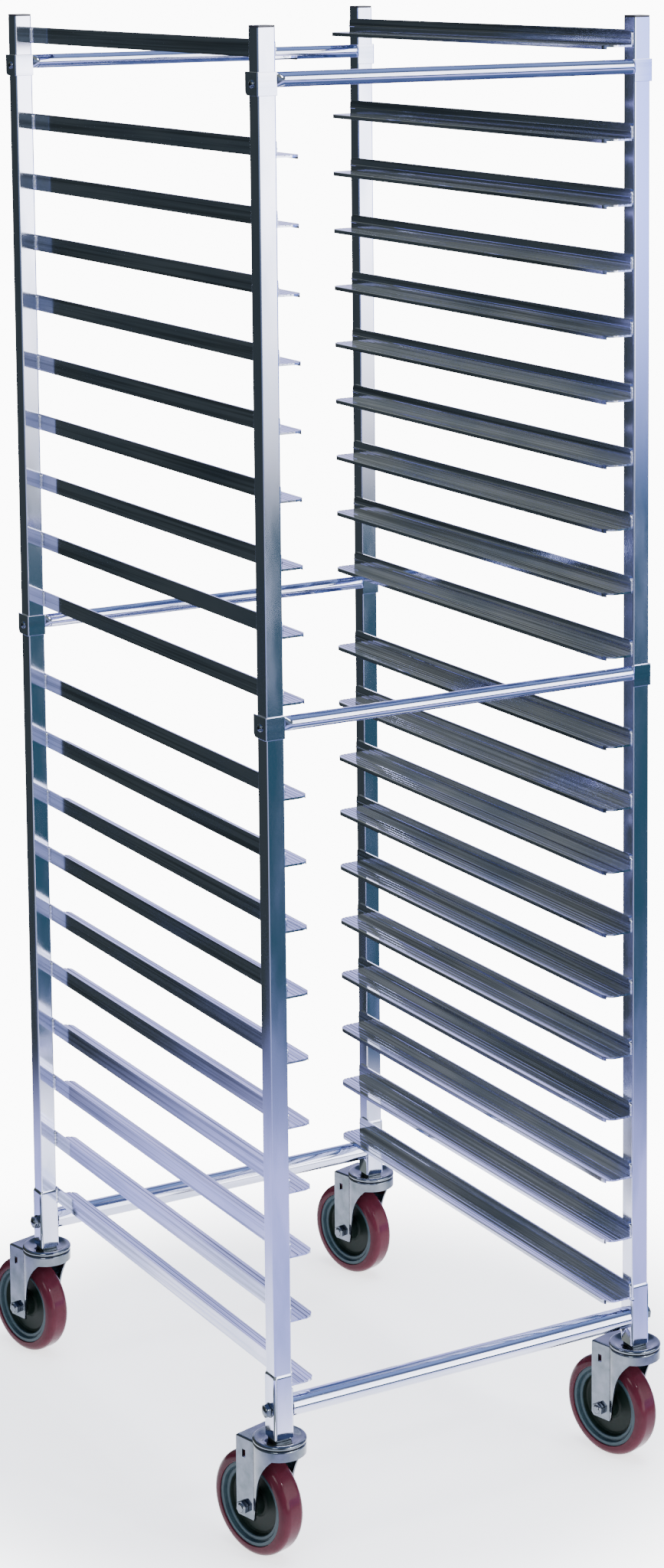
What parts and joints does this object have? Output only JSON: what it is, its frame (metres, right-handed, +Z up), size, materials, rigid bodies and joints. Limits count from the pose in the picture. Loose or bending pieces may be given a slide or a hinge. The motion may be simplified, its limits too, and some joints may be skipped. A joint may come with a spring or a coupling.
{
  "type": "sheet pan rack",
  "caption": "Tall open bakery rack: square posts, paired angle runners for sheet pans, round crossbars and swivel casters.",
  "frame": {"origin": "on the floor, at the middle of the bounding box's underside", "axes": "+Z up, -Y towards the side that pans go in from, +X to the right seen from there"},
  "size_m": [0.5638, 0.7662, 1.759],
  "materials": {
    "aluminium": "mill finish extrusion, faint length-wise lines",
    "aluminium_tube": "bright drawn tube",
    "zinc_steel": "bright zinc plate on pressed steel",
    "black_plastic": "moulded plastic",
    "tread": "smooth maroon polyurethane",
    "hub": "moulded dark grey nylon"
  },
  "bodies": {
    "rack": {"bar_plugs": "zinc_steel", "caster_head_fl": "zinc_steel", "caster_head_fr": "zinc_steel", "caster_head_rl": "zinc_steel", "caster_head_rr": "zinc_steel", "crossbar_bottom_front": "aluminium_tube", "crossbar_bottom_rear": "aluminium_tube", "crossbar_middle_front": "aluminium_tube", "crossbar_middle_rear": "aluminium_tube", "crossbar_screws": "zinc_steel", "crossbar_top_front": "aluminium_tube", "crossbar_top_rear": "aluminium_tube", "end_caps": "black_plastic", "foot_bolts": "zinc_steel", "post_fl": "aluminium", "post_fr": "aluminium", "post_rl": "aluminium", "post_rr": "aluminium", "runner_pair_01": "aluminium", "runner_pair_02": "aluminium", "runner_pair_03": "aluminium", "runner_pair_04": "aluminium", "runner_pair_05": "aluminium", "runner_pair_06": "aluminium", "runner_pair_07": "aluminium", "runner_pair_08": "aluminium", "runner_pair_09": "aluminium", "runner_pair_10": "aluminium", "runner_pair_11": "aluminium", "runner_pair_12": "aluminium", "runner_pair_13": "aluminium", "runner_pair_14": "aluminium", "runner_pair_15": "aluminium", "runner_pair_16": "aluminium", "runner_pair_17": "aluminium", "runner_pair_18": "aluminium", "runner_pair_19": "aluminium", "runner_pair_20": "aluminium", "sleeve_fl": "aluminium", "sleeve_fr": "aluminium", "sleeve_rl": "aluminium", "sleeve_rr": "aluminium"},
    "swivel_fl": {"fork_fl": "zinc_steel", "axle_fl": "zinc_steel"},
    "wheel_fl": {"hub_fl": "hub", "tread_fl": "tread"},
    "swivel_fr": {"fork_fr": "zinc_steel", "axle_fr": "zinc_steel"},
    "wheel_fr": {"hub_fr": "hub", "tread_fr": "tread"},
    "swivel_rl": {"fork_rl": "zinc_steel", "axle_rl": "zinc_steel"},
    "wheel_rl": {"hub_rl": "hub", "tread_rl": "tread"},
    "swivel_rr": {"fork_rr": "zinc_steel", "axle_rr": "zinc_steel"},
    "wheel_rr": {"hub_rr": "hub", "tread_rr": "tread"}
  },
  "joints": [
    {"name": "swivel_fl", "type": "hinge", "parent": "rack", "child": "swivel_fl", "pos_m": [-0.2418, -0.35163, 0.1462], "axis": [0, 0, 1], "continuous": true},
    {"name": "roll_fl", "type": "hinge", "parent": "swivel_fl", "child": "wheel_fl", "pos_m": [-0.25111, -0.31685, 0.062], "axis": [0.9659, 0.2588, 0], "continuous": true},
    {"name": "swivel_fr", "type": "hinge", "parent": "rack", "child": "swivel_fr", "pos_m": [0.2504, -0.35163, 0.1462], "axis": [0, 0, 1], "continuous": true},
    {"name": "roll_fr", "type": "hinge", "parent": "swivel_fr", "child": "wheel_fr", "pos_m": [0.24108, -0.31685, 0.062], "axis": [0.9659, 0.2588, 0], "continuous": true},
    {"name": "swivel_rl", "type": "hinge", "parent": "rack", "child": "swivel_rl", "pos_m": [-0.2418, 0.28657, 0.1462], "axis": [0, 0, 1], "continuous": true},
    {"name": "roll_rl", "type": "hinge", "parent": "swivel_rl", "child": "wheel_rl", "pos_m": [-0.25111, 0.32135, 0.062], "axis": [0.9659, 0.2588, 0], "continuous": true},
    {"name": "swivel_rr", "type": "hinge", "parent": "rack", "child": "swivel_rr", "pos_m": [0.2504, 0.28657, 0.1462], "axis": [0, 0, 1], "continuous": true},
    {"name": "roll_rr", "type": "hinge", "parent": "swivel_rr", "child": "wheel_rr", "pos_m": [0.24108, 0.32135, 0.062], "axis": [0.9659, 0.2588, 0], "continuous": true}
  ]
}
